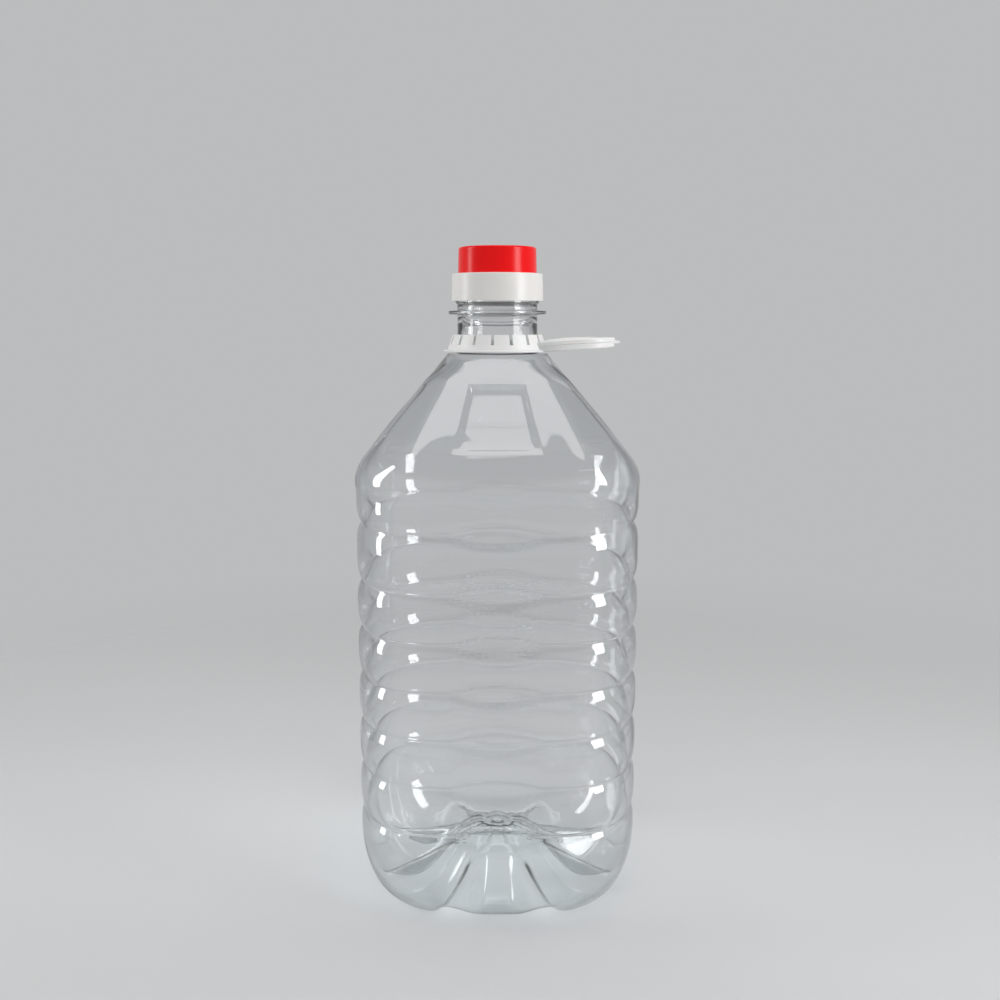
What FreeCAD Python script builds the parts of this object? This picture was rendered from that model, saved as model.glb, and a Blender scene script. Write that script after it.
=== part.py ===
import FreeCAD, Part
import os
from math import atan2, cos, hypot, pi, sin, tan

import Sketcher

# A blow-moulded five litre jug with a swivelling handle that pushes on to its neck, and a two-piece cap.
# It stands on its feet at height 0, with the axis of its neck on Z. The handle points along +X.

SIZES = {
    # the blown body, from the standing surface up
    "body_width": 154.4,
    "corner_height": 239.3,  # where the shoulder's slope would meet the upright wall
    "shoulder_rise": 59.9,
    "shoulder_blend": 30.0,
    "corner_band": 12.0,  # over this height each way the upright section turns into the shoulder's
    "ledge_reach": 5.3,  # the round flat step at the foot of the neck, out from the neck
    "ledge_round_off": 14.0,  # over this height below it the section turns round
    "body_corner_reach": 1.19,  # distance to a cut corner over the distance to a side
    "shoulder_corner_reach": 1.12,
    "body_sharpness": 10.0,
    "shoulder_sharpness": 22.0,
    "side_bow": 2.2,
    "bow_fade": 10.0,
    "wall": 0.5,
    "base_wall": 1.0,
    # the ribs round the body
    "rib_count": 7.0,
    "first_rib_rise": 7.0,  # from heel_height to the lowest rib
    "top_rib_drop": 28.1,  # from corner_height down to the top rib
    "top_band": 30.7,  # the wider band below the top rib
    "rib_depth": 4.6,
    "corner_rib_depth": 2.4,
    # the recess in each side of the shoulder
    "recess_base_rise": 15.0,  # from corner_height to its lower edge
    "recess_length": 31.0,
    "recess_base_width": 42.0,
    "recess_top_width": 30.0,
    "recess_depth": 2.4,
    "recess_slope": 3.2,
    # the feet and the raised middle of the base
    "foot_count": 8.0,
    "heel_height": 46.0,
    "heel_inset": 28.0,
    "valley_lift": 9.4,
    "valley_inset": 11.0,
    "push_up": 28.5,
    "gate_radius": 9.3,
    # the neck
    "neck_radius": 21.7,
    "neck_wall": 2.0,
    "ring_rise": 20.6,
    "ring_reach": 4.8,
    "ring_thickness": 2.2,
    "finish_height": 18.1,
    "bead_rise": 3.4,
    "bead_height": 2.0,
    "bead_reach": 0.9,
    # the white base of the cap
    "skirt_wall": 1.55,
    "skirt_gap": 5.2,  # between its foot and the neck's ring
    "skirt_taper": 0.35,
    "skirt_edge": 0.5,
    "deck_thickness": 1.6,
    "cap_clearance": 0.3,
    "spout_inset": 3.1,
    "spout_wall": 1.4,
    "spout_height": 8.0,
    # the red lid
    "lid_clearance": 1.2,
    "lid_headroom": 4.5,
    "lid_wall": 1.5,
    "lid_taper": 0.35,
    "lid_edge": 1.3,
    # the collar of the handle
    "seat_gap": 0.3,
    "neck_clearance": 0.3,
    "collar_height": 10.0,
    "collar_wall": 1.8,
    "collar_flare": 3.5,
    "flange_reach": 1.1,
    "flange_thickness": 1.3,
    "slit_count": 15.0,
    "slit_width": 2.5,
    "slit_depth": 6.2,
    "first_slit_angle": 4.5,
    # the loop of the handle
    "loop_length": 39.9,  # out from the collar's flange
    "loop_inset": 3.3,  # of each of its sides from the collar's foot
    "loop_bar": 9.0,
    "loop_corner": 13.0,
    "loop_thickness": 6.7,
    "loop_flange": 1.6,
    "loop_channel": 1.6,
    "loop_tilt": 2.6,
    "loop_drop": 0.9,
    "loop_start": 8.0,
    "nub_length": 2.7,
    "nub_size": 2.0,
}

doc = FreeCAD.newDocument("PlasticJug")
sheet = doc.addObject("Spreadsheet::Sheet", "Sizes")
for row, (name, number) in enumerate(SIZES.items(), start=1):
    sheet.set(f"A{row}", name)
    sheet.set(f"B{row}", str(number))
    sheet.setAlias(f"B{row}", name)
doc.recompute()


def size(name):
    return float(sheet.get(name))


# ---- the blown body: one rule gives the outside at any height and any angle round the axis ----

half_width = size("body_width") / 2
ledge_height = size("corner_height") + size("shoulder_rise")
ledge_radius = size("neck_radius") + size("ledge_reach")
slope = (half_width - ledge_radius) / size("shoulder_rise")
blend_reach = size("shoulder_blend") * tan(atan2(slope, 1) / 2)
lowest_rib = size("heel_height") + size("first_rib_rise")
top_rib = size("corner_height") - size("top_rib_drop")
rib_pitch = (top_rib - size("top_band") - lowest_rib) / (size("rib_count") - 2)
rib_heights = [lowest_rib + number * rib_pitch for number in range(int(size("rib_count")) - 1)] + [top_rib]
COLUMNS = 96  # round the axis, a whole number for each foot
PATCH_ROWS = 13


def eased(value, low, high):
    """0 below low, 1 above high, and a smooth rise between."""
    share = min(max((value - low) / (high - low), 0.0), 1.0)
    return share * share * (3 - 2 * share)


def side_distance(height):
    """From the axis to the middle of a side, with the ribs and recesses left out."""
    blend = size("shoulder_blend")
    wall_end = size("corner_height") - blend_reach
    slope_start = size("corner_height") + blend_reach * cos(atan2(slope, 1))
    if height <= wall_end:
        return half_width
    if height >= slope_start:
        return half_width - slope * (height - size("corner_height"))
    return half_width - blend + (blend**2 - (height - wall_end) ** 2) ** 0.5


def section(angle, height):
    """The section's distance from the axis over its distance to a side: a square with cut, rounded corners."""
    on_shoulder = eased(height - size("corner_height"), -size("corner_band"), size("corner_band"))
    reach = size("body_corner_reach")
    reach += on_shoulder * (size("shoulder_corner_reach") - reach)
    power = size("body_sharpness")
    power += on_shoulder * (size("shoulder_sharpness") - power)
    total = 0.0
    for side in range(8):
        toward = cos(angle - side * pi / 4)
        if toward > 0:
            total += (toward / (reach if side % 2 else 1.0)) ** power
    outline = total ** (-1 / power)
    round_off = eased(height, ledge_height - size("ledge_round_off"), ledge_height)
    return outline + round_off * (1 - outline)


def rib(angle, height):
    """How far the ribs draw the wall in. They are deepest in the middle of each side."""
    nearest = min(1.0, min(abs(height - middle) for middle in rib_heights) / (rib_pitch / 2))
    hollow = 1 - (1 - (1 - nearest) ** 2.6) ** 0.55
    corner = size("corner_rib_depth")
    depth = corner + (size("rib_depth") - corner) * abs(cos(2 * angle)) ** 1.5
    return hollow * depth


def bow(angle, height):
    """The sides bulge a little, and less towards the shoulder and the feet."""
    fade = size("bow_fade")
    share = eased(height, 0, size("heel_height"))
    share *= 1 - eased(height, size("corner_height") - fade, size("corner_height") + 3 * fade)
    return size("side_bow") * share * sin(2 * angle) ** 2


def recess(angle, height, distance):
    """How far the wall is drawn in by the four recesses of the shoulder."""
    base = size("corner_height") + size("recess_base_rise")
    along = (height - base) / size("recess_length")
    width = size("recess_base_width") + along * (size("recess_top_width") - size("recess_base_width"))
    across = min(abs(distance * sin(angle - side * pi / 2)) for side in range(4) if cos(angle - side * pi / 2) > 0.5)
    soft = size("recess_slope")
    inside = eased(width / 2 - across, -soft / 2, soft / 2)
    inside *= eased(height - base, -soft / 2, soft / 2)
    inside *= eased(base + size("recess_length") - height, -soft / 2, soft / 2)
    return size("recess_depth") * inside


def wall_point(angle, height, distance):
    """A point of the outside at a height, where the side stands at the given distance."""
    out = distance * section(angle, height) - bow(angle, height)
    out -= rib(angle, height) + recess(angle, height, out)
    return FreeCAD.Vector(out * cos(angle), out * sin(angle), height)


def foot_share(angle):
    """1 over a foot and 0 in the valley between two feet."""
    return min(1.0, 1.08 * (1 - abs(sin(size("foot_count") / 2 * angle)) ** 3))


def heel_point(angle, turn):
    """The heel, from the upright wall at turn 0 to the foot's lowest line at turn 1."""
    drop = sin(turn * pi / 2)
    inward = 1 - cos(turn * pi / 2)
    foot = foot_share(angle)
    inset = inward * (size("valley_inset") + foot * (size("heel_inset") - size("valley_inset")))
    height = size("heel_height") - drop * (size("heel_height") - (1 - foot) * size("valley_lift"))
    return wall_point(angle, height, half_width - inset)


def base_point(angle, share):
    """The base, from the foot's lowest line at share 0 to the gate in the middle at share 1."""
    foot = foot_share(angle)
    start = heel_point(angle, 1.0)
    outer = hypot(start.x, start.y)
    out = outer + share * (size("gate_radius") - outer)
    rise_foot = (1 - cos(pi * share)) / 2
    rise_valley = 1 - (1 - share) ** 3
    height = start.z + (size("push_up") - start.z) * (rise_valley + foot * (rise_foot - rise_valley))
    return FreeCAD.Vector(out * cos(angle), out * sin(angle), height)


def wall_heights():
    """Closer together in the ribs and the shoulder than on the plain wall."""
    heights = []
    for middle in rib_heights:
        for off in (-0.5, -0.3, -0.16, -0.07, 0.0, 0.07, 0.16, 0.3):
            heights.append(middle + off * rib_pitch)
    top = top_rib + 0.5 * rib_pitch
    count = round((ledge_height - top) / 2.6)
    heights += [top + (ledge_height - top) * step / count for step in range(count + 1)]
    return [height for height in heights if height > size("heel_height") + 1]


def outside():
    """Rows of points up the outside, from the gate to the ledge, one for each column round the axis."""
    angles = [2 * pi * (column - 1) / COLUMNS - pi / 4 for column in range(COLUMNS)]
    base_shares = (1.0, 0.96, 0.88, 0.78, 0.68, 0.58, 0.48, 0.38, 0.28, 0.19, 0.11, 0.05)
    heel_turns = (1.0, 0.93, 0.85, 0.76, 0.66, 0.56, 0.46, 0.36, 0.26, 0.17, 0.08, 0.0)
    rows = [[base_point(angle, share) for angle in angles] for share in base_shares]
    rows += [[heel_point(angle, turn) for angle in angles] for turn in heel_turns]
    for height in wall_heights():
        rows.append([wall_point(angle, height, side_distance(height)) for angle in angles])
    return rows


def drawn_in(rows):
    """The inside: each point moved in by the wall along the surface's own normal."""
    inner = []
    for number, row in enumerate(rows):
        below = rows[max(number - 1, 0)]
        above = rows[min(number + 1, len(rows) - 1)]
        moved = []
        for column, point in enumerate(row):
            along = row[(column + 1) % COLUMNS] - row[column - 1]
            normal = along.cross(above[column] - below[column])
            normal.normalize()
            reach = hypot(point.x, point.y)
            on_base = eased(half_width - size("heel_inset") - reach, 0, 20)
            thickness = size("wall") + on_base * (size("base_wall") - size("wall"))
            moved.append(point - normal * thickness)
        inner.append(moved)
    for point in inner[0]:
        point.z = size("push_up") + size("base_wall")
    for point in inner[-1]:
        point.z = ledge_height - size("wall")
    return inner


def closed_solid(rows):
    """A smooth closed surface through the rows' net, in patches, with a flat disc at either end."""
    net = [[row[column] for row in rows] for column in range(COLUMNS)]
    round_knots = list(range(COLUMNS + 1))
    up_knots = list(range(len(rows) - 2))
    surface = Part.BSplineSurface()
    surface.buildFromPolesMultsKnots(
        net,
        [1] * len(round_knots),
        [4] + [1] * (len(up_knots) - 2) + [4],
        round_knots,
        up_knots,
        True,
        False,
        3,
        3,
    )
    levels = list(range(0, up_knots[-1] - PATCH_ROWS // 2, PATCH_ROWS)) + [up_knots[-1]]
    faces = []
    for side in range(4):
        for low, high in zip(levels, levels[1:]):
            patch = surface.copy()
            patch.segment(side * COLUMNS / 4, (side + 1) * COLUMNS / 4, low, high)
            faces.append(patch.toShape())
    for row in (rows[0], rows[-1]):
        rim = []
        for face in faces:
            for edge in face.Edges:
                if abs(edge.BoundBox.ZMin - row[0].z) < 1e-6 and edge.BoundBox.ZLength < 1e-6:
                    rim.append(edge)
        faces.append(Part.Face(Part.Wire(Part.sortEdges(rim)[0])))
    shell = Part.makeShell(faces)
    shell.sewShape()
    solid = Part.makeSolid(shell)
    if solid.Volume < 0:
        solid.reverse()
    return solid


outer_rows = outside()
blown_outside = doc.addObject("Part::Feature", "BlownOutside")
blown_outside.Shape = closed_solid(outer_rows)
blown_inside = doc.addObject("Part::Feature", "BlownInside")
blown_inside.Shape = closed_solid(drawn_in(outer_rows))


# ---- turned pieces: a profile in the XZ plane, each corner bound to the sheet, turned about Z ----


def plane_of(body, role):
    return next(item for item in body.Origin.OriginFeatures if item.Role == role)


def add_sketch(body, name, role):
    sketch = body.newObject("Sketcher::SketchObject", name)
    sketch.AttachmentSupport = [(plane_of(body, role), "")]
    sketch.MapMode = "FlatFace"
    return sketch


def bind(sketch, kind, *where_and_formula):
    """Adds one constraint and binds it to a formula of the sheet's sizes."""
    *where, formula = where_and_formula
    number = sketch.addConstraint(Sketcher.Constraint(kind, *where, value_of(formula)))
    sketch.setExpression(f"Constraints[{number}]", in_sheet(formula))


def in_sheet(formula):
    return " ".join(f"Sizes.{word}" if word in SIZES else word for word in formula.split())


def value_of(formula):
    return float(sheet.evalExpression(in_sheet(formula)))


def add_outline(sketch, corners):
    """A closed outline of straight edges through corners given as pairs of formulas."""
    places = [FreeCAD.Vector(value_of(across), value_of(up), 0) for across, up in corners]
    count = len(places)
    first = sketch.GeometryCount
    for number in range(count):
        sketch.addGeometry(Part.LineSegment(places[number], places[(number + 1) % count]))
    for number, (across, up) in enumerate(corners):
        after = first + (number + 1) % count
        sketch.addConstraint(Sketcher.Constraint("Coincident", first + number, 2, after, 1))
        bind(sketch, "DistanceX", -1, 1, first + number, 1, across)
        bind(sketch, "DistanceY", -1, 1, first + number, 1, up)


def turned(name, corners):
    """A body turned about Z from a profile of (radius, height) corners."""
    body = doc.addObject("PartDesign::Body", name)
    sketch = add_sketch(body, name + "Profile", "XZ_Plane")
    add_outline(sketch, corners)
    turn = body.newObject("PartDesign::Revolution", name + "Turn")
    turn.Profile = sketch
    turn.ReferenceAxis = (sketch, ["V_Axis"])
    turn.Angle = 360
    sketch.Visibility = False
    doc.recompute()
    return body


def edges_at(shape, radius, height):
    """The names of the round edges at a radius and a height."""
    names = []
    for number, edge in enumerate(shape.Edges, start=1):
        round_edge = hasattr(edge.Curve, "Radius") and abs(edge.Curve.Radius - radius) < 1e-4
        if round_edge and abs(edge.BoundBox.ZMin - height) < 1e-4 and edge.BoundBox.ZLength < 1e-4:
            names.append(f"Edge{number}")
    return names


def rounded(body, name, place, radius_name):
    """Rounds the round edge at a (radius, height) place."""
    names = edges_at(body.Shape, value_of(place[0]), value_of(place[1]))
    solid = body.Tip
    fillet = body.newObject("PartDesign::Fillet", name)
    fillet.Base = (solid, names)
    fillet.setExpression("Radius", in_sheet(radius_name))
    doc.recompute()


# ---- the jug: the blown shell and its neck in one piece ----

LEDGE = "corner_height + shoulder_rise"
RING = LEDGE + " + ring_rise"
RING_TOP = RING + " + ring_thickness"
LIP = RING_TOP + " + finish_height"

neck = turned(
    "Neck",
    [
        ("0", LEDGE),
        ("neck_radius", LEDGE),
        ("neck_radius", RING),
        ("neck_radius + ring_reach", RING + " + ring_thickness * 0.2"),
        ("neck_radius + ring_reach", RING_TOP),
        ("neck_radius", RING_TOP),
        ("neck_radius", RING_TOP + " + bead_rise"),
        ("neck_radius + bead_reach", RING_TOP + " + bead_rise + bead_reach"),
        ("neck_radius + bead_reach", RING_TOP + " + bead_rise + bead_height"),
        ("neck_radius", RING_TOP + " + bead_rise + bead_height"),
        ("neck_radius", LIP),
        ("0", LIP),
    ],
)

bore = doc.addObject("Part::Cylinder", "Bore")
bore.setExpression("Radius", in_sheet("neck_radius - neck_wall"))
bore.setExpression("Height", in_sheet("ring_rise + ring_thickness + finish_height + 10"))
bore.setExpression("Placement.Base.z", in_sheet(LEDGE + " - 5"))

closed_jug = doc.addObject("Part::Fuse", "ClosedJug")
closed_jug.Base = blown_outside
closed_jug.Tool = neck
hollowed_jug = doc.addObject("Part::Cut", "HollowedJug")
hollowed_jug.Base = closed_jug
hollowed_jug.Tool = blown_inside
jug = doc.addObject("Part::Cut", "Jug")
jug.Base = hollowed_jug
jug.Tool = bore
jug.Label = "jug"

# ---- the white base of the cap: a skirt round the neck, a deck on the lip and a spout ----

DECK_TOP = LIP + " + deck_thickness"
SKIRT_FOOT = RING_TOP + " + skirt_gap"
INNER = "neck_radius + bead_reach + cap_clearance"
SKIRT = INNER + " + skirt_wall"
SPOUT = "neck_radius - spout_inset"
SPOUT_TOP = DECK_TOP + " + spout_height"

cap_base = turned(
    "CapBase",
    [
        ("0", LIP),
        (INNER, LIP),
        (INNER, SKIRT_FOOT),
        (SKIRT + " + skirt_taper", SKIRT_FOOT),
        (SKIRT, DECK_TOP),
        (SPOUT, DECK_TOP),
        (SPOUT, SPOUT_TOP),
        (SPOUT + " - spout_wall", SPOUT_TOP),
        (SPOUT + " - spout_wall", DECK_TOP),
        ("0", DECK_TOP),
    ],
)
cap_base.Label = "cap_base"
rounded(cap_base, "SkirtEdge", (SKIRT, DECK_TOP), "skirt_edge")

# ---- the red lid: a cup over the spout, standing on the deck ----

LID_INSIDE = SPOUT + " + lid_clearance"
LID_CEILING = SPOUT_TOP + " + lid_headroom"
LID_TOP = LID_CEILING + " + lid_wall"

lid = turned(
    "Lid",
    [
        (LID_INSIDE, DECK_TOP),
        (LID_INSIDE + " + lid_wall", DECK_TOP),
        (LID_INSIDE + " + lid_wall - lid_taper", LID_TOP),
        ("0", LID_TOP),
        ("0", LID_CEILING),
        (LID_INSIDE + " - lid_taper", LID_CEILING),
    ],
)
lid.Label = "lid"
rounded(lid, "LidEdge", (LID_INSIDE + " + lid_wall - lid_taper", LID_TOP), "lid_edge")

# ---- the handle: a slitted collar that snaps on below the ring, and a loop to carry by ----

FOOT = LEDGE + " + seat_gap"
COLLAR_TOP = FOOT + " + collar_height"
FINGER = "neck_radius + neck_clearance"
COLLAR_FOOT = FINGER + " + collar_wall + collar_flare"
FLANGE = COLLAR_FOOT + " + flange_reach"

collar = turned(
    "Collar",
    [
        (FINGER + " + collar_flare", FOOT),
        (FLANGE, FOOT),
        (FLANGE, FOOT + " + flange_thickness"),
        (COLLAR_FOOT, FOOT + " + flange_thickness"),
        (FINGER + " + collar_wall", COLLAR_TOP),
        (FINGER, COLLAR_TOP),
    ],
)

slit_sketch = add_sketch(collar, "SlitOutline", "XZ_Plane")
add_outline(
    slit_sketch,
    [
        ("slit_width / -2", COLLAR_TOP + " - slit_depth"),
        ("slit_width / 2", COLLAR_TOP + " - slit_depth"),
        ("slit_width / 2", COLLAR_TOP + " + slit_width"),
        ("slit_width / -2", COLLAR_TOP + " + slit_width"),
    ],
)
before = collar.Shape.Volume
slit = collar.newObject("PartDesign::Pocket", "Slit")
slit.Profile = slit_sketch
slit.Type = 0
slit.setExpression("Length", in_sheet(FLANGE + " + slit_width"))
doc.recompute()
if before - collar.Shape.Volume < 1:
    raise RuntimeError("the slit cuts nothing")
slits = collar.newObject("PartDesign::PolarPattern", "Slits")
slits.Originals = [slit]
slits.Axis = (plane_of(collar, "Z_Axis"), [""])
slits.Angle = 360
slits.setExpression("Occurrences", in_sheet("slit_count"))
collar.Tip = slits
doc.recompute()
collar.setExpression("Placement.Rotation.Angle", in_sheet("first_slit_angle * 1 deg"))


def add_tongue(sketch, start, end, half, corner):
    """A strip along X with square corners at its start and round ones at its end."""
    turn_at = f"{end} - ( {corner} )"
    edge = f"{half} - ( {corner} )"
    far_edge = f"0 - ( {edge} )"
    far_half = f"0 - ( {half} )"
    lines = [
        ((start, far_half), (turn_at, far_half)),
        ((end, far_edge), (end, edge)),
        ((turn_at, half), (start, half)),
        ((start, half), (start, far_half)),
    ]
    first = sketch.GeometryCount
    for ends in lines:
        places = [FreeCAD.Vector(value_of(across), value_of(up), 0) for across, up in ends]
        sketch.addGeometry(Part.LineSegment(*places))
    middle_x = value_of(turn_at)
    radius = value_of(corner)
    for side in (-1, 1):
        middle = FreeCAD.Vector(middle_x, side * value_of(edge), 0)
        circle = Part.Circle(middle, FreeCAD.Vector(0, 0, 1), radius)
        low = -pi / 2 if side < 0 else 0
        sketch.addGeometry(Part.ArcOfCircle(circle, low, low + pi / 2))
    for number, ends in enumerate(lines):
        for end_number, (across, up) in enumerate(ends, start=1):
            if number == 3:
                break
            bind(sketch, "DistanceX", -1, 1, first + number, end_number, across)
            bind(sketch, "DistanceY", -1, 1, first + number, end_number, up)
    pairs = ((2, 2, 3, 1), (3, 2, 0, 1), (0, 2, 4, 1), (4, 2, 1, 1), (1, 2, 5, 1), (5, 2, 2, 1))
    for one, one_end, other, other_end in pairs:
        sketch.addConstraint(Sketcher.Constraint("Coincident", first + one, one_end, first + other, other_end))
    for arc in (4, 5):
        bind(sketch, "Radius", first + arc, corner)


def raised(body, name, kind, height, length, outline):
    """A pad or pocket upward from a height, of a tongue outline."""
    sketch = add_sketch(body, name + "Outline", "XY_Plane")
    sketch.setExpression("AttachmentOffset.Base.z", in_sheet(height))
    add_tongue(sketch, *outline)
    feature = body.newObject("PartDesign::" + kind, name)
    feature.Profile = sketch
    feature.Type = 0
    feature.Reversed = kind == "Pocket"
    feature.setExpression("Length", in_sheet(length))
    sketch.Visibility = False
    doc.recompute()


HALF = COLLAR_FOOT + " - loop_inset"
LOOP_END = FLANGE + " + loop_length"
full = ("loop_start", LOOP_END, HALF, "loop_corner")
web = ("loop_start", LOOP_END + " - loop_channel", HALF + " - loop_channel", "loop_corner - loop_channel")
gap = ("loop_start - loop_bar / 2", LOOP_END + " - loop_bar", HALF + " - loop_bar", "loop_corner - loop_bar / 2")
nub = (LOOP_END + " - loop_bar / 2", LOOP_END + " + nub_length", "nub_size / 2", "nub_size / 4")

loop = doc.addObject("PartDesign::Body", "Loop")
raised(loop, "LoopWeb", "Pad", "0", "loop_thickness", web)
raised(loop, "LowerFlange", "Pad", "0", "loop_flange", full)
raised(loop, "UpperFlange", "Pad", "loop_thickness - loop_flange", "loop_flange", full)
raised(loop, "FingerGap", "Pocket", "0", "loop_thickness", gap)
raised(loop, "Nub", "Pad", "loop_thickness / 2 - nub_size / 2", "nub_size", nub)
loop.Placement = FreeCAD.Placement(FreeCAD.Vector(), FreeCAD.Rotation(FreeCAD.Vector(0, -1, 0), size("loop_tilt")))
loop.setExpression("Placement.Base.z", in_sheet(FOOT + " - loop_drop"))

# the loop stops at the inside of the collar
hollow = turned(
    "CollarHollow",
    [
        ("0", FOOT + " - loop_drop * 3"),
        (FLANGE + " + loop_drop * 3", FOOT + " - loop_drop * 3"),
        (FLANGE + " + loop_drop * 3", FOOT),
        (FINGER + " + collar_flare", FOOT),
        (FINGER, COLLAR_TOP),
        ("0", COLLAR_TOP),
    ],
)
trimmed_loop = doc.addObject("Part::Cut", "TrimmedLoop")
trimmed_loop.Base = loop
trimmed_loop.Tool = hollow
handle = doc.addObject("Part::Fuse", "Handle")
handle.Base = collar
handle.Tool = trimmed_loop
handle.Label = "handle"

doc.recompute()
os.makedirs("parts", exist_ok=True)

pieces = (jug, cap_base, lid, handle)
for item in doc.Objects:
    if "Invalid" in item.State or "Error" in item.State:
        raise RuntimeError(f"{item.Name} did not compute: {item.State}")
for piece in pieces:
    if piece.Shape.isNull() or not piece.Shape.isValid() or len(piece.Shape.Solids) != 1:
        raise RuntimeError(f"{piece.Label} is not one valid solid")
for piece in pieces:
    piece.Shape.exportStep(f"parts/{piece.Label}.step")
    print(piece.Label, round(piece.Shape.Volume), "cubic mm")
print("inside up to the ledge", round(blown_inside.Shape.Volume / 1e6, 3), "litres")
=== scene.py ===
from math import copysign, cos, exp, pi, radians, sin, sqrt

import bmesh
import bpy
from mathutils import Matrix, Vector


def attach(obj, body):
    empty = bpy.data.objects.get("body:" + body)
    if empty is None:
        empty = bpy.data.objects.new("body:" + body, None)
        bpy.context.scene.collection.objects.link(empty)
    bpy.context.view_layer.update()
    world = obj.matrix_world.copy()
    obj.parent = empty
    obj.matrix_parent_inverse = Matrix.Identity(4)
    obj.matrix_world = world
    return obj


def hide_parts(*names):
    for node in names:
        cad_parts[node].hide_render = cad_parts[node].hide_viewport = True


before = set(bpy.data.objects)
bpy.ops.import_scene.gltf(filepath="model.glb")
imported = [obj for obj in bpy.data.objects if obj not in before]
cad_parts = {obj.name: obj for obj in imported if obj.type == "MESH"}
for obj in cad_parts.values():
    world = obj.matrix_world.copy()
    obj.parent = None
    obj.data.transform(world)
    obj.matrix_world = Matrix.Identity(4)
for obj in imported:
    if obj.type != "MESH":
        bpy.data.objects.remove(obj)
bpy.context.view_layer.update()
scene = bpy.context.scene
print("frame loaded:", sorted(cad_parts))


# a value in a node tree: arithmetic with it adds the Math nodes that work the result out
class Term:
    def __init__(self, socket):
        self.socket = socket

    def __add__(self, other):
        return calc("ADD", self, other)

    def __sub__(self, other):
        return calc("SUBTRACT", self, other)

    def __rsub__(self, other):
        return calc("SUBTRACT", other, self)

    def __mul__(self, other):
        return calc("MULTIPLY", self, other)

    def __truediv__(self, other):
        return calc("DIVIDE", self, other)

    def __rtruediv__(self, other):
        return calc("DIVIDE", other, self)

    def __pow__(self, other):
        return calc("POWER", self, other)


def feed(tree, socket, value):
    if isinstance(value, Term):
        value = value.socket
    if isinstance(value, bpy.types.NodeSocket):
        tree.links.new(value, socket)
    else:
        socket.default_value = value


def calc(operation, *values):
    tree = next(value.socket.id_data for value in values if isinstance(value, Term))
    node = tree.nodes.new("ShaderNodeMath")
    node.operation = operation
    for socket, value in zip(node.inputs, values):
        feed(tree, socket, value)
    return Term(node.outputs[0])


# 0 below low and 1 above high, with soft ends
def eased(value, low, high, blend="SMOOTHSTEP"):
    inputs = {"Value": value, "From Min": low, "From Max": high}
    node = addNode(value.socket.id_data, "ShaderNodeMapRange", inputs, interpolation_type=blend)
    return Term(node.outputs["Result"])


# the same with sharp ends
def ramp(value, low, high):
    return eased(value, low, high, "LINEAR")


# 1 on a line, falling to 0 at a width from it
def stripe(value, middle, width):
    return calc("MAXIMUM", 1 - calc("ABSOLUTE", value - middle) / width, 0.0)


def least(*values):
    result = values[0]
    for value in values[1:]:
        result = calc("MINIMUM", result, value)
    return result


def addNode(tree, kind, inputs=None, **settings):
    node = tree.nodes.new(kind)
    for name, value in settings.items():
        setattr(node, name, value)
    for name, value in (inputs or {}).items():
        feed(tree, node.inputs[name], value)
    return node


def newTree(name, sizes):
    tree = bpy.data.node_groups.new(name, "GeometryNodeTree")
    tree.interface.new_socket("Geometry", in_out="INPUT", socket_type="NodeSocketGeometry")
    tree.interface.new_socket("Geometry", in_out="OUTPUT", socket_type="NodeSocketGeometry")
    for size, value in sizes.items():
        kind = "NodeSocketInt" if isinstance(value, int) else "NodeSocketFloat"
        tree.interface.new_socket(size, in_out="INPUT", socket_type=kind).default_value = value
    return tree, tree.nodes.new("NodeGroupInput"), tree.nodes.new("NodeGroupOutput")


# keeps what a tree makes of an object as a plain mesh piece
def runTree(start, tree, sizes, name):
    modifier = start.modifiers.new(name, "NODES")
    modifier.node_group = tree
    for item in tree.interface.items_tree:
        if item.in_out == "INPUT" and item.name in sizes:
            modifier[item.identifier] = sizes[item.name]
    shown = start.evaluated_get(bpy.context.evaluated_depsgraph_get())
    mesh = bpy.data.meshes.new_from_object(shown)
    start.modifiers.remove(modifier)
    bpy.data.objects.remove(start)
    mesh.name = name
    return placePiece(name, mesh)


def placePiece(name, mesh):
    piece = bpy.data.objects.new(name, mesh)
    scene.collection.objects.link(piece)
    return piece


def newMaterial(name):
    material = bpy.data.materials.new(name)
    material.use_nodes = True
    tree = material.node_tree
    return material, tree, tree.nodes["Principled BSDF"], tree.nodes["Material Output"]


# opaque moulded plastic: the values in a piece's look go into a group that all of them share
plasticDefaults = {"Colour": (0.8, 0.8, 0.8, 1), "Shade": 0.06, "Cloud Scale": 60, "Grain Scale": 2500,
                   "Roughness": 0.3, "Roughness Change": 0.1}
plastic = {"cloudDetail": 3.0, "grainDetail": 2.0, "grainHeight": 0.3, "bumpDistance": 0.0002,
           "glowRadius": (0.9, 0.6, 0.5), "glowScale": 0.0015}


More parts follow.
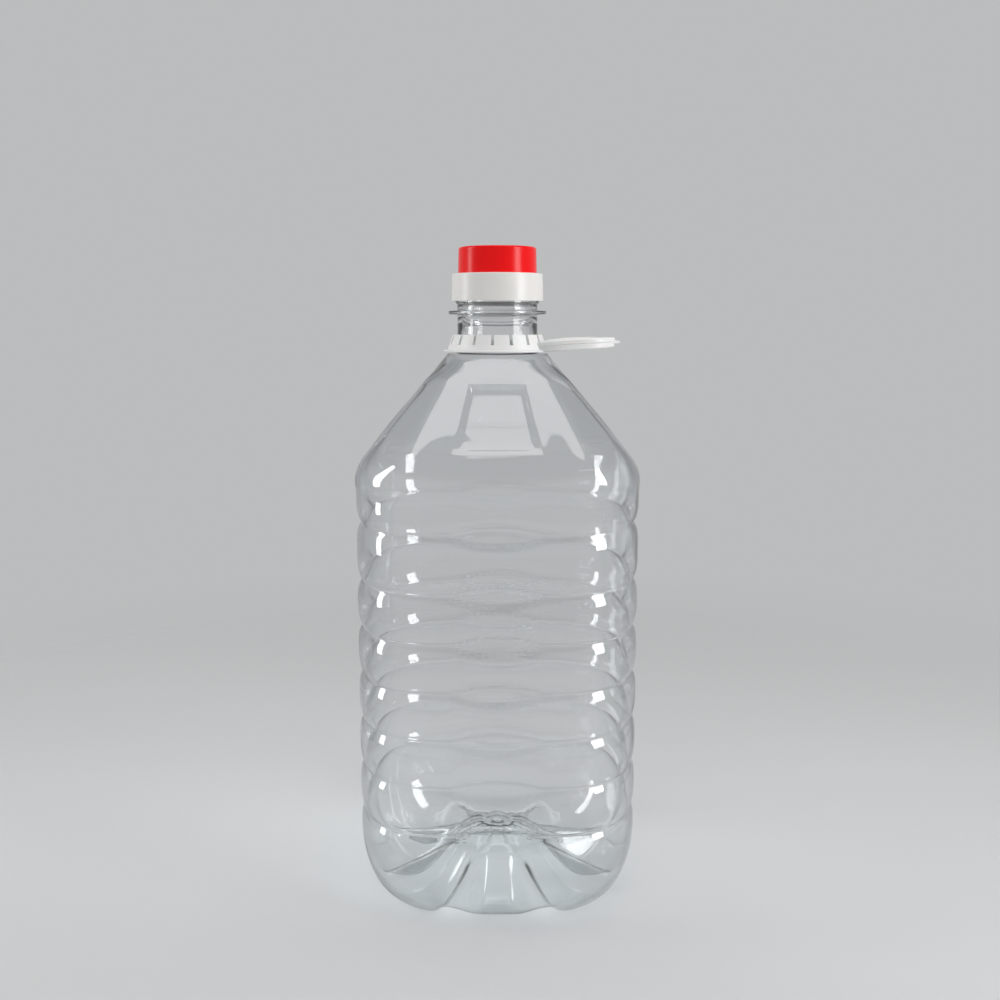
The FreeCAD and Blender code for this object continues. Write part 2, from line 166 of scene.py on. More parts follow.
def buildMouldedPlastic():
    group = bpy.data.node_groups.new("mouldedPlastic", "ShaderNodeTree")
    for name, value in plasticDefaults.items():
        kind = "NodeSocketColor" if name == "Colour" else "NodeSocketFloat"
        group.interface.new_socket(name, in_out="INPUT", socket_type=kind).default_value = value
    for name in ("Colour", "Roughness", "Height"):
        kind = "NodeSocketColor" if name == "Colour" else "NodeSocketFloat"
        group.interface.new_socket(name, in_out="OUTPUT", socket_type=kind)
    inside, result = group.nodes.new("NodeGroupInput"), group.nodes.new("NodeGroupOutput")
    given = inside.outputs
    place = addNode(group, "ShaderNodeTexCoord").outputs["Object"]
    cloudInputs = {"Vector": place, "Scale": given["Cloud Scale"], "Detail": plastic["cloudDetail"]}
    grainInputs = {"Vector": place, "Scale": given["Grain Scale"], "Detail": plastic["grainDetail"]}
    cloud = Term(addNode(group, "ShaderNodeTexNoise", cloudInputs).outputs["Fac"])
    grain = Term(addNode(group, "ShaderNodeTexNoise", grainInputs).outputs["Fac"])
    bright = (cloud - 0.5) * Term(given["Shade"]) + 1.0
    shaded = addNode(group, "ShaderNodeHueSaturation", {"Color": given["Colour"], "Value": bright})
    rough = Term(given["Roughness"]) + (cloud - 0.5) * Term(given["Roughness Change"])
    feed(group, result.inputs["Colour"], shaded.outputs["Color"])
    feed(group, result.inputs["Roughness"], rough)
    feed(group, result.inputs["Height"], grain * plastic["grainHeight"] + cloud)
    return group


mouldedPlastic = buildMouldedPlastic()


def plasticMaterial(name, look):
    material, tree, shader, _ = newMaterial(name)
    group = addNode(tree, "ShaderNodeGroup", node_tree=mouldedPlastic)
    for key in plasticDefaults:
        group.inputs[key].default_value = look[key]
    bumpInputs = {"Strength": look["Bump"], "Distance": plastic["bumpDistance"]}
    bump = addNode(tree, "ShaderNodeBump", {**bumpInputs, "Height": group.outputs["Height"]})
    feed(tree, shader.inputs["Base Color"], group.outputs["Colour"])
    feed(tree, shader.inputs["Roughness"], group.outputs["Roughness"])
    feed(tree, shader.inputs["Normal"], bump.outputs["Normal"])
    shader.inputs["IOR"].default_value = look["IOR"]
    shader.inputs["Subsurface Weight"].default_value = look["Glow"]
    shader.inputs["Subsurface Radius"].default_value = plastic["glowRadius"]
    shader.inputs["Subsurface Scale"].default_value = plastic["glowScale"]
    return material


# the clear plastic of the jug, with painted shade in its colour where the wall is seen edge on and along its
# grooves and recess edges
clearLook = {
    # edge is the painted shade colour that the wall takes where it is seen edge on and along its grooves
    "colour": (0.95, 0.96, 0.965, 1), "edge": (0.30, 0.34, 0.37, 1), "shadow": (0.90, 0.915, 0.92, 1),
    "edgeShadeLaw": 3.0, "paintedCreaseShade": 0.62, "IOR": 1.57, "roughness": 0.02,
    "scuff": 0.06, "scuffScale": 90.0, "scuffDetail": 5.0, "scuffStart": 0.58, "scuffFull": 0.8,
    "waveScale": 28.0, "waveStrength": 0.25, "waveDistance": 0.0015,
}


def buildClearPet():
    material, tree, shader, output = newMaterial("clearPet")
    place = addNode(tree, "ShaderNodeTexCoord").outputs["Object"]
    facing = Term(addNode(tree, "ShaderNodeLayerWeight", {"Blend": 0.5}).outputs["Facing"])
    paintedCreaseShade = Term(addNode(tree, "ShaderNodeAttribute", attribute_name="paintedCreaseShade").outputs["Fac"])
    # painted shade: the colour turns toward the edge colour where the wall is seen edge on and where the jug's
    # tree marked grooves and recess edges
    edgeShadeMix = addNode(tree, "ShaderNodeMix", data_type="RGBA")
    feed(tree, edgeShadeMix.inputs[0], least(facing ** clearLook["edgeShadeLaw"] + paintedCreaseShade * clearLook["paintedCreaseShade"], 1.0))
    edgeShadeMix.inputs[6].default_value = clearLook["colour"]
    edgeShadeMix.inputs[7].default_value = clearLook["edge"]
    tree.links.new(edgeShadeMix.outputs[2], shader.inputs["Base Color"])
    shader.inputs["Transmission Weight"].default_value = 1.0
    shader.inputs["IOR"].default_value = clearLook["IOR"]

    # faint scuffs in the gloss and slow waves in the surface
    scuffInputs = {"Scale": clearLook["scuffScale"], "Detail": clearLook["scuffDetail"], "Roughness": 0.7}
    scuffs = Term(addNode(tree, "ShaderNodeTexNoise", {"Vector": place, **scuffInputs}).outputs["Fac"])
    rough = eased(scuffs, clearLook["scuffStart"], clearLook["scuffFull"]) * clearLook["scuff"]
    feed(tree, shader.inputs["Roughness"], rough + clearLook["roughness"])
    waveInputs = {"Vector": place, "Scale": clearLook["waveScale"], "Detail": 1.0}
    waves = addNode(tree, "ShaderNodeTexNoise", waveInputs)
    bumpInputs = {"Strength": clearLook["waveStrength"], "Distance": clearLook["waveDistance"]}
    bump = addNode(tree, "ShaderNodeBump", {**bumpInputs, "Height": waves.outputs["Fac"]})
    feed(tree, shader.inputs["Normal"], bump.outputs["Normal"])

    # light reaches the floor through the wall
    seeThrough = addNode(tree, "ShaderNodeBsdfTransparent", {"Color": clearLook["shadow"]})
    isShadow = addNode(tree, "ShaderNodeLightPath").outputs["Is Shadow Ray"]
    mix = addNode(tree, "ShaderNodeMixShader", {0: isShadow, 1: shader.outputs[0], 2: seeThrough.outputs[0]})
    tree.links.new(mix.outputs[0], output.inputs["Surface"])
    return material


clearPet = buildClearPet()

# the jug is a flat map of rows and columns that a node tree wraps into the blown shape
jugSizes = {
    "Body Width": 0.1543, "Corner Height": 0.2393, "Shoulder Rise": 0.0599, "Shoulder Blend": 0.03,
    "Ledge Radius": 0.027, "Body Corner Reach": 1.19, "Shoulder Corner Reach": 1.2, "Body Sharpness": 10.0,
    "Shoulder Sharpness": 34.0, "Side Bow": 0.0022,
    "Rib Count": 7, "Lowest Rib": 0.053, "Top Rib Drop": 0.0281, "Top Band": 0.0307, "Rib Depth": 0.0039,
    "Corner Rib Depth": 0.0021, "Rib Root": 0.04, "Lens Height": 0.0036, "Lens Width": 0.024,
    "Recess Rise": 0.0128, "Recess Length": 0.032, "Recess Base Angle": radians(18.2),
    "Recess Top Angle": radians(20.2), "Recess Depth": 0.0026, "Recess Slope": 0.0024,
    "Foot Count": 8, "Foot Level": 0.0001, "Heel Height": 0.046, "Heel Inset": 0.028, "Valley Lift": 0.0098,
    "Valley Inset": 0.0135, "Valley Sharpness": 8.0, "Push Up": 0.0285, "Gate Radius": 0.0093,
    "Wall": 0.0005, "Base Wall": 0.001,
}
jugBlends = {
    "footFlat": 1.04, "section": 0.012, "ledge": 0.014, "bowStart": 0.01, "bowEnd": 0.03, "baseWall": 0.02,
    "ribFall": 3.0, "ribRound": 0.6, "ribFade": 1.5, "valleyRise": 0.75,
}
# widths of the lines of painted shade that the material darkens along the jug's edges, grooves and valleys,
# and how dark they are
paintedLineShade = {
    "recess": 0.0008, "corner": radians(1.3), "rib": 0.12, "ribShade": 0.65, "valleyShade": 0.7,
    "cornerStart": 0.004, "ledgeNear": 0.006, "ledgeFar": 0.016,
}
# rows and columns of the map; a gathering is how much closer the steps stand and over what width
jugDetail = {
    "columns": 26, "baseRows": 30, "heelRows": 18, "ribRows": 16, "shoulderRows": 38, "marks": 3000,
    "recessSides": (3.0, radians(1.6)), "valley": (5.0, radians(1.3)), "corner": (3.0, radians(1.6)),
    "recessEnds": (3.5, 0.0014), "bend": (1.0, 0.008), "valleyAngle": radians(22.5),
    "cornerAngle": radians(35.2), "evenShare": 0.35, "lowestRow": 0.0008, "gapRows": 3,
}
gateNub = 0.0012
# below the gate, shares of its radius and of the nub's height, and above it shares of the radius
gateRows = [(0.15, 1), (0.24, 0.9), (0.3, 0.2), (0.36, 0), (0.8, 0), (0.93, 0.35)]
gateInside = (0.7, 0.35)
# shoulder's end, neck, ledge, ring and rim as radius and height in mm, up the outside and down the inside
neckRows = [
    (26.6, 299.2), (23.2, 299.2), (22.2, 299.35), (21.8, 299.8), (21.7, 300.6), (21.7, 319.4), (22.0, 319.85),
    (25.9, 320.2), (26.4, 320.4), (26.5, 320.8), (26.5, 321.5), (26.35, 321.9), (25.9, 322.0), (22.2, 322.0),
    (21.8, 322.2), (21.7, 322.7), (21.7, 325.3), (22.45, 326.15), (22.6, 326.5), (22.6, 327.1),
    (22.45, 327.35), (21.8, 327.4), (21.7, 327.8), (21.7, 339.5), (21.55, 339.95), (21.1, 340.1),
    (20.3, 340.1), (19.85, 339.95), (19.7, 339.5), (19.7, 299.8), (19.9, 299.1), (20.5, 298.75),
    (21.5, 298.7), (25.9, 298.7),
]


# steps from low to high that stand closer at each place: where, how much and over what width
def gathered(low, high, count, places):
    last = jugDetail["marks"]
    marks = [low + (high - low) * step / last for step in range(last + 1)]
    total, sums = 0, []
    for mark in marks:
        total += 1 + sum(more * exp(-((mark - where) / wide) ** 2) for where, more, wide in places)
        sums.append(total)
    steps, at = [], 0
    for step in range(count + 1):
        while at < last and sums[at] < sums[0] + (total - sums[0]) * step / count:
            at += 1
        steps.append(marks[at])
    return steps


def jugAngles():
    recess = (jugSizes["Recess Base Angle"] + jugSizes["Recess Top Angle"]) / 2
    places = [(recess, *jugDetail["recessSides"]), (jugDetail["valleyAngle"], *jugDetail["valley"]),
              (jugDetail["cornerAngle"], *jugDetail["corner"])]
    eighth = gathered(0, pi / 4, jugDetail["columns"], places)
    quarter = eighth[:-1] + [pi / 2 - angle for angle in reversed(eighth[1:])]
    return [side * pi / 2 + angle for side in range(4) for angle in quarter]


def ribHeights(middles, pitch):
    half, even = jugDetail["ribRows"] // 2, jugDetail["evenShare"]
    heights = []
    for middle in middles:
        for step in range(-half, half):
            share = step / half
            heights.append(middle + pitch / 2 * share * (even + (1 - even) * abs(share)))
    return heights


# a level from 0 to 1 is on the base, from 1 to 2 on the heel, and above 2 a share of the wall's height
def jugLevels():
    heel, corner, count = jugSizes["Heel Height"], jugSizes["Corner Height"], jugSizes["Rib Count"]
    ledge, top = corner + jugSizes["Shoulder Rise"], corner - jugSizes["Top Rib Drop"]
    pitch = (top - jugSizes["Top Band"] - jugSizes["Lowest Rib"]) / (count - 2)
    middles = [jugSizes["Lowest Rib"] + number * pitch for number in range(count - 1)] + [top]
    heights = ribHeights(middles, pitch)
    gap = (middles[-1] - middles[-2] - pitch) / jugDetail["gapRows"]
    heights += [middles[-2] + pitch / 2 + gap * step for step in range(jugDetail["gapRows"])]
    base = corner + jugSizes["Recess Rise"]
    edges = [(base, *jugDetail["recessEnds"]), (base + jugSizes["Recess Length"], *jugDetail["recessEnds"]),
             (corner, *jugDetail["bend"])]
    heights += gathered(top + pitch / 2, ledge, jugDetail["shoulderRows"], edges)
    heights = sorted(height for height in heights if height > heel + jugDetail["lowestRow"])
    levels = [step / jugDetail["baseRows"] for step in range(jugDetail["baseRows"])]
    levels += [1 + step / jugDetail["heelRows"] for step in range(jugDetail["heelRows"] + 1)]
    return levels + [2 + (height - heel) / (ledge - heel) for height in heights]


def buildJugMap():
    levels, angles = jugLevels(), jugAngles()
    gate, middle = jugSizes["Gate Radius"], jugSizes["Push Up"]
    ceiling = middle + jugSizes["Base Wall"]
    rows = [("turned", gate * share, middle - gateNub * rise) for share, rise in gateRows]
    rows += [("outside", level, 0) for level in levels]
    rows += [("turned", radius / 1000, height / 1000) for radius, height in neckRows]
    rows += [("inside", level, 0) for level in reversed(levels)]
    rows += [("turned", gate * share, ceiling) for share in gateInside]
    points, marks = [], {"radius": [], "height": [], "turned": [], "inside": []}

    def addPoint(place, *values):
        points.append(place)
        for name, value in zip(marks, values):
            marks[name].append(value)

    for kind, first, height in rows:
        turned = kind == "turned"
        for angle in angles:
            place = (angle, 0 if turned else first, 0)
            addPoint(place, first if turned else 0, height, turned, kind == "inside")
    columns, lastRow, faces = len(angles), len(rows) - 1, []
    for start in range(0, lastRow * columns, columns):
        for column in range(columns):
            here, beside = start + column, start + (column + 1) % columns
            faces.append((here, beside, beside + columns, here + columns))
    for row, height in ((0, middle - gateNub), (lastRow, ceiling)):
        addPoint((0, 0, 0), 0, height, True, False)
        for column in range(columns):
            pair = (row * columns + column, row * columns + (column + 1) % columns)
            faces.append((len(points) - 1, *(reversed(pair) if row == 0 else pair)))
    mesh = bpy.data.meshes.new("jugMap")
    mesh.from_pydata(points, [], faces)
    kinds = {"radius": "FLOAT", "height": "FLOAT", "turned": "BOOLEAN", "inside": "BOOLEAN"}
    for name, kind in kinds.items():
        mesh.attributes.new(name, kind, "POINT").data.foreach_set("value", marks[name])
    mesh.polygons.foreach_set("use_smooth", [True] * len(faces))
    return placePiece("jugMap", mesh)


# a value that the map holds for each point
def readMark(tree, name, kind):
    return addNode(tree, "GeometryNodeInputNamedAttribute", {"Name": name}, data_type=kind).outputs[0]


def readPlace(tree):
    here = addNode(tree, "GeometryNodeInputPosition").outputs[0]
    place = addNode(tree, "ShaderNodeSeparateXYZ", {"Vector": here})
    return Term(place.outputs["X"]), Term(place.outputs["Y"])


# 1 in the middle of a rib and 0 halfway to the next
def ribProfile(away):
    return 1 - (1 - (1 - least(away, 1.0)) ** jugBlends["ribFall"]) ** jugBlends["ribRound"]


def buildJugTree():
    tree, given, result = newTree("blownJug", jugSizes)
    size = {name: Term(given.outputs[name]) for name in jugSizes}
    angle, level = readPlace(tree)
    share = calc("MAXIMUM", 1 - level, 0.0)
    turn = calc("MAXIMUM", calc("MINIMUM", 2 - level, 1.0), 0.0)
    rise = calc("MAXIMUM", level - 2, 0.0)
    corner, halfWidth = size["Corner Height"], size["Body Width"] * 0.5
    ledge = corner + size["Shoulder Rise"]

    # feet and heel
    wave = calc("ABSOLUTE", calc("SINE", angle * size["Foot Count"] * 0.5))
    foot = least((1 - wave ** size["Valley Sharpness"]) * jugBlends["footFlat"], 1.0)
    drop = calc("SINE", turn * (pi / 2))
    inward = 1 - calc("COSINE", turn * (pi / 2))
    inset = inward * (size["Valley Inset"] + foot * (size["Heel Inset"] - size["Valley Inset"]))
    lowered = size["Heel Height"] - size["Foot Level"] - (1 - foot) * size["Valley Lift"]
    height = size["Heel Height"] - drop * lowered + rise * (ledge - size["Heel Height"])

    # how far a side stands from the axis
    slope = (halfWidth - size["Ledge Radius"]) / size["Shoulder Rise"]
    lean = calc("ARCTANGENT", slope)
    reach = size["Shoulder Blend"] * calc("TANGENT", lean * 0.5)
    wallEnd, slopeStart = corner - reach, corner + reach * calc("COSINE", lean)
    bend = calc("SQRT", calc("MAXIMUM", size["Shoulder Blend"] ** 2.0 - (height - wallEnd) ** 2.0, 0.0))
    arc = halfWidth - size["Shoulder Blend"] + bend
    sloped = halfWidth - slope * (height - corner)
    above, onSlope = calc("GREATER_THAN", height, wallEnd), calc("GREATER_THAN", height, slopeStart)
    side = halfWidth + above * (arc - halfWidth) + onSlope * (sloped - arc) - inset

    # the section: a square with cut, rounded corners
    fold = calc("PINGPONG", angle, pi / 4)
    shoulder = eased(height, corner - jugBlends["section"], corner + jugBlends["section"])
    cut = size["Body Corner Reach"] + shoulder * (size["Shoulder Corner Reach"] - size["Body Corner Reach"])
    power = size["Body Sharpness"] + shoulder * (size["Shoulder Sharpness"] - size["Body Sharpness"])
    total = calc("COSINE", fold) ** power + calc("SINE", fold) ** power
    for toward in (fold - pi / 4, fold + pi / 4):
        total = total + (calc("COSINE", toward) / cut) ** power
    outline = total ** (-1 / power)
    outline = outline + eased(height, ledge - jugBlends["ledge"], ledge) * (1 - outline)

    # ribs, deepest in the middle of each side
    topRib = corner - size["Top Rib Drop"]
    pitch = (topRib - size["Top Band"] - size["Lowest Rib"]) / (size["Rib Count"] - 2)
    number = calc("ROUND", (height - size["Lowest Rib"]) / pitch)
    number = least(calc("MAXIMUM", number, 0.0), size["Rib Count"] - 2)
    across = side * calc("TANGENT", fold) / size["Lens Width"]
    lens = size["Lens Height"] * calc("MAXIMUM", 1 - across ** 2.0, 0.0)
    off = calc("ABSOLUTE", height - size["Lowest Rib"] - number * pitch)
    off = least(off, calc("ABSOLUTE", height - topRib))
    off = calc("MAXIMUM", off - lens, 0.0) / (pitch * 0.5 - lens)
    root = size["Rib Root"]
    depth = ribProfile(calc("SQRT", off ** 2.0 + root ** 2.0)) / ribProfile(root)
    flat = calc("ABSOLUTE", calc("COSINE", angle * 2)) ** jugBlends["ribFade"]
    depth = depth * (size["Corner Rib Depth"] + (size["Rib Depth"] - size["Corner Rib Depth"]) * flat)

    # the bow of the sides and the recesses of the shoulder
    bow = eased(height, 0.0, size["Heel Height"])
    bow = bow * (1 - eased(height, corner - jugBlends["bowStart"], corner + jugBlends["bowEnd"]))
    out = side * outline - size["Side Bow"] * bow * calc("SINE", angle * 2) ** 2.0
    base, slopeWidth = corner + size["Recess Rise"], size["Recess Slope"]
    spread = size["Recess Top Angle"] - size["Recess Base Angle"]
    edge = size["Recess Base Angle"] + (height - base) / size["Recess Length"] * spread
    within = least((edge - fold) * side, height - base, base + size["Recess Length"] - height)
    out = out - depth - size["Recess Depth"] * ramp(within, 0.0, slopeWidth)

    # painted shade: the material is darker along the recess edges, the shoulder corners, the rib grooves and
    # the base valleys
    creaseShadeMask = stripe(within, 0.0, paintedLineShade["recess"]) + stripe(within, slopeWidth, paintedLineShade["recess"])
    onShoulder = ramp(height, corner - paintedLineShade["cornerStart"], corner + paintedLineShade["cornerStart"])
    onShoulder = onShoulder * ramp(ledge - height, paintedLineShade["ledgeNear"], paintedLineShade["ledgeFar"])
    cornerCrease = calc("ARCTANGENT", cut * sqrt(2) - 1)
    creaseShadeMask = creaseShadeMask + stripe(fold, cornerCrease, paintedLineShade["corner"]) * onShoulder
    creaseShadeMask = creaseShadeMask + stripe(off, 0.0, paintedLineShade["rib"]) * paintedLineShade["ribShade"] * (1 - onShoulder)
    creaseShadeMask = creaseShadeMask + (1 - foot) * turn * paintedLineShade["valleyShade"]

    # the base rises to the gate
    footRise = (1 - calc("COSINE", share * pi)) * 0.5
    valleyRise = 1 - (1 - share) ** jugBlends["valleyRise"]
    height = height + (size["Push Up"] - height) * (valleyRise + foot * (footRise - valleyRise))
    out = out + share * (size["Gate Radius"] - out)

    # the neck and the gate are turned, from the rows' own radius and height
    switchInputs = {"Switch": readMark(tree, "turned", "BOOLEAN"), "False": 0.0, "True": 1.0}
    isTurned = Term(addNode(tree, "GeometryNodeSwitch", switchInputs, input_type="FLOAT").outputs[0])
    out = out + isTurned * (Term(readMark(tree, "radius", "FLOAT")) - out)
    height = height + isTurned * (Term(readMark(tree, "height", "FLOAT")) - height)
    pointInputs = {"X": out * calc("COSINE", angle), "Y": out * calc("SINE", angle), "Z": height}
    point = addNode(tree, "ShaderNodeCombineXYZ", pointInputs)
    wrapInputs = {"Geometry": given.outputs["Geometry"], "Position": point.outputs[0]}
    wrapped = addNode(tree, "GeometryNodeSetPosition", wrapInputs)

    # the inside is the same wall moved in along its normal
    x, y = readPlace(tree)
    away = calc("SQRT", x ** 2.0 + y ** 2.0)
    onBase = eased(halfWidth - size["Heel Inset"] - away, 0.0, jugBlends["baseWall"])
    thickness = size["Wall"] + onBase * (size["Base Wall"] - size["Wall"])
    normal = addNode(tree, "GeometryNodeInputNormal").outputs[0]
    shift = addNode(tree, "ShaderNodeVectorMath", {0: normal, "Scale": thickness}, operation="SCALE")
    wallInputs = {"Geometry": wrapped.outputs[0], "Selection": readMark(tree, "inside", "BOOLEAN")}
    walled = addNode(tree, "GeometryNodeSetPosition", {**wallInputs, "Offset": shift.outputs[0]})
    # the painted shade mask is kept on the points for the material to read
    paintedCreaseShade = (1 - isTurned) * least(creaseShadeMask, 1.0)
    markInputs = {"Geometry": walled.outputs[0], "Name": "paintedCreaseShade", "Value": paintedCreaseShade}
    marked = addNode(tree, "GeometryNodeStoreNamedAttribute", markInputs)
    painted = addNode(tree, "GeometryNodeSetMaterial", {"Geometry": marked.outputs[0], "Material": clearPet})
    tree.links.new(painted.outputs[0], result.inputs[0])
    return tree


jugShell = runTree(buildJugMap(), buildJugTree(), jugSizes, "jugShell")
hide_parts("jug")
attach(jugShell, "jug_body")
print("jug:", len(jugShell.data.polygons), "faces")

# the cap's two pieces keep their CAD meshes
capLook = {"Colour": (0.80, 0.785, 0.76, 1), "Shade": 0.05, "Cloud Scale": 70.0, "Grain Scale": 2600.0,
           "Roughness": 0.32, "Roughness Change": 0.14, "Bump": 0.10, "IOR": 1.5, "Glow": 0.25}
lidLook = {"Colour": (0.88, 0.002, 0.003, 1), "Shade": 0.08, "Cloud Scale": 80.0, "Grain Scale": 2200.0,
           "Roughness": 0.22, "Roughness Change": 0.12, "Bump": 0.10, "IOR": 1.32, "Glow": 0.0}
for node, name, look in (("cap_base", "whiteCap", capLook), ("lid", "redLid", lidLook)):
    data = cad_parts[node].data
    data.materials.clear()
    data.materials.append(plasticMaterial(name, look))
print("cap and lid finished")

# the handle: a collar of fingers repeated round the neck, and the loop swept out from it
handleLook = {"Colour": (0.82, 0.82, 0.815, 1), "Shade": 0.06, "Cloud Scale": 55.0, "Grain Scale": 1800.0,
              "Roughness": 0.36, "Roughness Change": 0.14, "Bump": 0.18, "IOR": 1.49, "Glow": 0.25}
whiteHandle = plasticMaterial("whiteHandle", handleLook)
collar = {
    "foot": 0.3001, "top": 0.3094, "footInside": 0.0254, "footOutside": 0.0275, "topInside": 0.02215,
    "topOutside": 0.0243, "lip": 0.0293, "lipHeight": 0.0010, "lipRound": 0.0004, "lipLean": 0.0001,
    "lipFillet": 0.0002, "slitFloor": 0.3040, "slitWidth": 0.0019, "firstSlit": radians(-95.8), "fingers": 5,
    "weld": 0.00002,
}
collarRepeat = {"Slit Count": 16}
loop = {
    "end": 0.0640, "middle": 0.0385, "half": 0.0150, "roundness": 2.35, "opening": 0.78, "points": 56,
    "bar": 0.0076, "step": 0.00035, "chamfer": 0.0006, "endChamfer": 1.6,
    "rootLow": 0.3002, "rootHigh": 0.3055, "rootReach": 0.025, "rise": 0.0024, "bulge": 0.00235,
    "bulgeLaw": 3.8, "nubLength": 0.0028, "nubSize": 0.0008, "nubHeight": 0.3053, "nubRoot": 0.001,
    "nubShoulder": 0.55, "nubTip": 0.7,
}
softEdge = {"width": 0.00022, "segments": 2, "angle": radians(32), "weld": 0.000005}


def placeMesh(name, points, faces):
    mesh = bpy.data.meshes.new(name)
    mesh.from_pydata(points, [], faces)
    mesh.update()
    return placePiece(name, mesh)


def collarWall(height):
    share = (height - collar["foot"]) / (collar["top"] - collar["foot"])
    inside = collar["footInside"] + (collar["topInside"] - collar["footInside"]) * share
    outside = collar["footOutside"] + (collar["topOutside"] - collar["footOutside"]) * share
    return inside, outside


# one slit and the finger beside it, as a closed stretch of the collar's wall
def buildFinger():
    foot, top, floor, lip = collar["foot"], collar["top"], collar["slitFloor"], collar["lip"]
    rim, between = foot + collar["lipHeight"], floor + (top - floor) * 0.5
    outline = [(collarWall(foot)[0], foot), (lip - collar["lipRound"], foot), (lip, foot + collar["lipRound"]),
               (lip - collar["lipLean"], rim), (collarWall(rim)[1], rim + collar["lipFillet"])]
    low = len(outline)  # from here the outline goes up the finger and down again to the slit's floor
    outline += [(collarWall(height)[1], height) for height in (floor, between, top)]
    outline += [(collarWall(height)[0], height) for height in (top, between, floor)]
    size = len(outline)
    high = size - 1
    pitch, half = 2 * pi / collarRepeat["Slit Count"], collar["slitWidth"] / 2 / collar["footOutside"]
    angles = [-half, half]
    for step in range(1, collar["fingers"] + 1):
        angles.append(half + (pitch - 2 * half) * step / collar["fingers"])
    points = []
    for angle in angles:
        turned = angle + collar["firstSlit"]
        points += [(radius * cos(turned), radius * sin(turned), height) for radius, height in outline]
    faces = []
    for column in range(len(angles) - 1):
        for row in range(size):
            here, above = column * size + row, column * size + (row + 1) % size
            if column == 0 and low <= row < high:
                continue
            faces.append((here, here + size, above + size, above))
    faces.append((low, low + size, high + size, high))
    faces.append(tuple(range(low, high + 1)))
    faces.append(tuple(size + row for row in range(high, low - 1, -1)))
    return placeMesh("finger", points, faces)


def buildCollarTree():
    tree, given, result = newTree("collarFingers", collarRepeat)
    count = given.outputs["Slit Count"]
    line = addNode(tree, "GeometryNodeMeshLine", {"Count": count, "Offset": (0, 0, 0)})
    turn = Term(addNode(tree, "GeometryNodeInputIndex").outputs[0]) * (2 * pi) / Term(count)
    turned = addNode(tree, "ShaderNodeCombineXYZ", {"Z": turn})
    rotation = addNode(tree, "FunctionNodeEulerToRotation", {"Euler": turned.outputs[0]})
    spreadInputs = {"Points": line.outputs["Mesh"], "Instance": given.outputs["Geometry"]}
    spread = addNode(tree, "GeometryNodeInstanceOnPoints", {**spreadInputs, "Rotation": rotation.outputs[0]})
    real = addNode(tree, "GeometryNodeRealizeInstances", {"Geometry": spread.outputs[0]})
    mergeInputs = {"Geometry": real.outputs[0], "Distance": collar["weld"]}
    merged = addNode(tree, "GeometryNodeMergeByDistance", mergeInputs)
    paintInputs = {"Geometry": merged.outputs[0], "Material": whiteHandle}
    painted = addNode(tree, "GeometryNodeSetMaterial", paintInputs)
    tree.links.new(painted.outputs[0], result.inputs[0])
    return tree


# the middle line of the loop as x, y and the way outward, from one side of the collar to the other
def loopPath():
    length, power = loop["end"] - loop["bar"] / 2 - loop["middle"], 2 / loop["roundness"]
    first = pi - loop["opening"]
    places = []
    for number in range(-1, loop["points"] + 2):
        angle = -first + 2 * first * number / loop["points"]
        across, along = sin(angle), cos(angle)
        x = loop["middle"] + length * copysign(abs(along) ** power, along)
        places.append((x, loop["half"] * copysign(abs(across) ** power, across)))
    path = []
    for (beforeX, beforeY), (x, y), (afterX, afterY) in zip(places, places[1:], places[2:]):
        stepX, stepY = afterX - beforeX, afterY - beforeY
        step = sqrt(stepX ** 2 + stepY ** 2)
        path.append((x, y, stepY / step, -stepX / step))
    return path


# section of the bar as a way out from its middle line and a share of its height; the outside has a step
def loopSection():
    half, chamfer = loop["bar"] / 2, loop["chamfer"]
    stepped = half - loop["step"]
    outside = [(stepped - chamfer, 0), (stepped, 0.1), (stepped, 0.52), (half, 0.58), (half, 0.88),
               (half - chamfer * loop["endChamfer"], 1)]
    return outside + [(chamfer - half, 1), (-half, 0.9), (-half, 0.1), (chamfer - half, 0)]


def loopPoint(x, y, up, isEnd):
    if isEnd:  # both ends stop in the middle of the collar's wall
        inside, outside = collarWall(loop["rootLow"] + (loop["rootHigh"] - loop["rootLow"]) * up)
        x = sqrt(((inside + outside) / 2) ** 2 - y ** 2)
    share = min(1, max(0, (x - loop["rootReach"]) / (loop["end"] - loop["rootReach"])))
    low = loop["rootLow"] + loop["rise"] * share
    high = loop["rootHigh"] + loop["bulge"] * (1 - (1 - share) ** loop["bulgeLaw"])
    return x, y, low + (high - low) * up


def buildLoop():
    path, section = loopPath(), loopSection()
    points, faces, size, last = [], [], len(section), len(path) - 1
    for number, (x, y, outX, outY) in enumerate(path):
        points += [loopPoint(x + outX * out, y + outY * out, up, number in (0, last)) for out, up in section]
    for start in range(0, last * size, size):
        for row in range(size):
            here, beside = start + row, start + (row + 1) % size
            faces.append((here, here + size, beside + size, beside))
    faces += [tuple(range(size)), tuple(last * size + row for row in range(size - 1, -1, -1))]

    # the nub at the loop's end
    nub, tip, start = loop["nubSize"], loop["end"] + loop["nubLength"], len(points)
    shoulder = loop["end"] + loop["nubLength"] * loop["nubShoulder"]
    for x, scale in ((loop["end"] - loop["nubRoot"], 1), (shoulder, 1), (tip, loop["nubTip"])):
        for across, up in ((-1, -1), (1, -1), (1, 1), (-1, 1)):
            points.append((x, nub * scale * across, loop["nubHeight"] + nub * scale * up))
    for ring in (start, start + 4):
        for row in range(4):
            here, beside = ring + row, ring + (row + 1) % 4
            faces.append((here, beside, beside + 4, here + 4))
    faces += [tuple(start + row for row in (3, 2, 1, 0)), tuple(start + 8 + row for row in range(4))]
    return placeMesh("loop", points, faces)


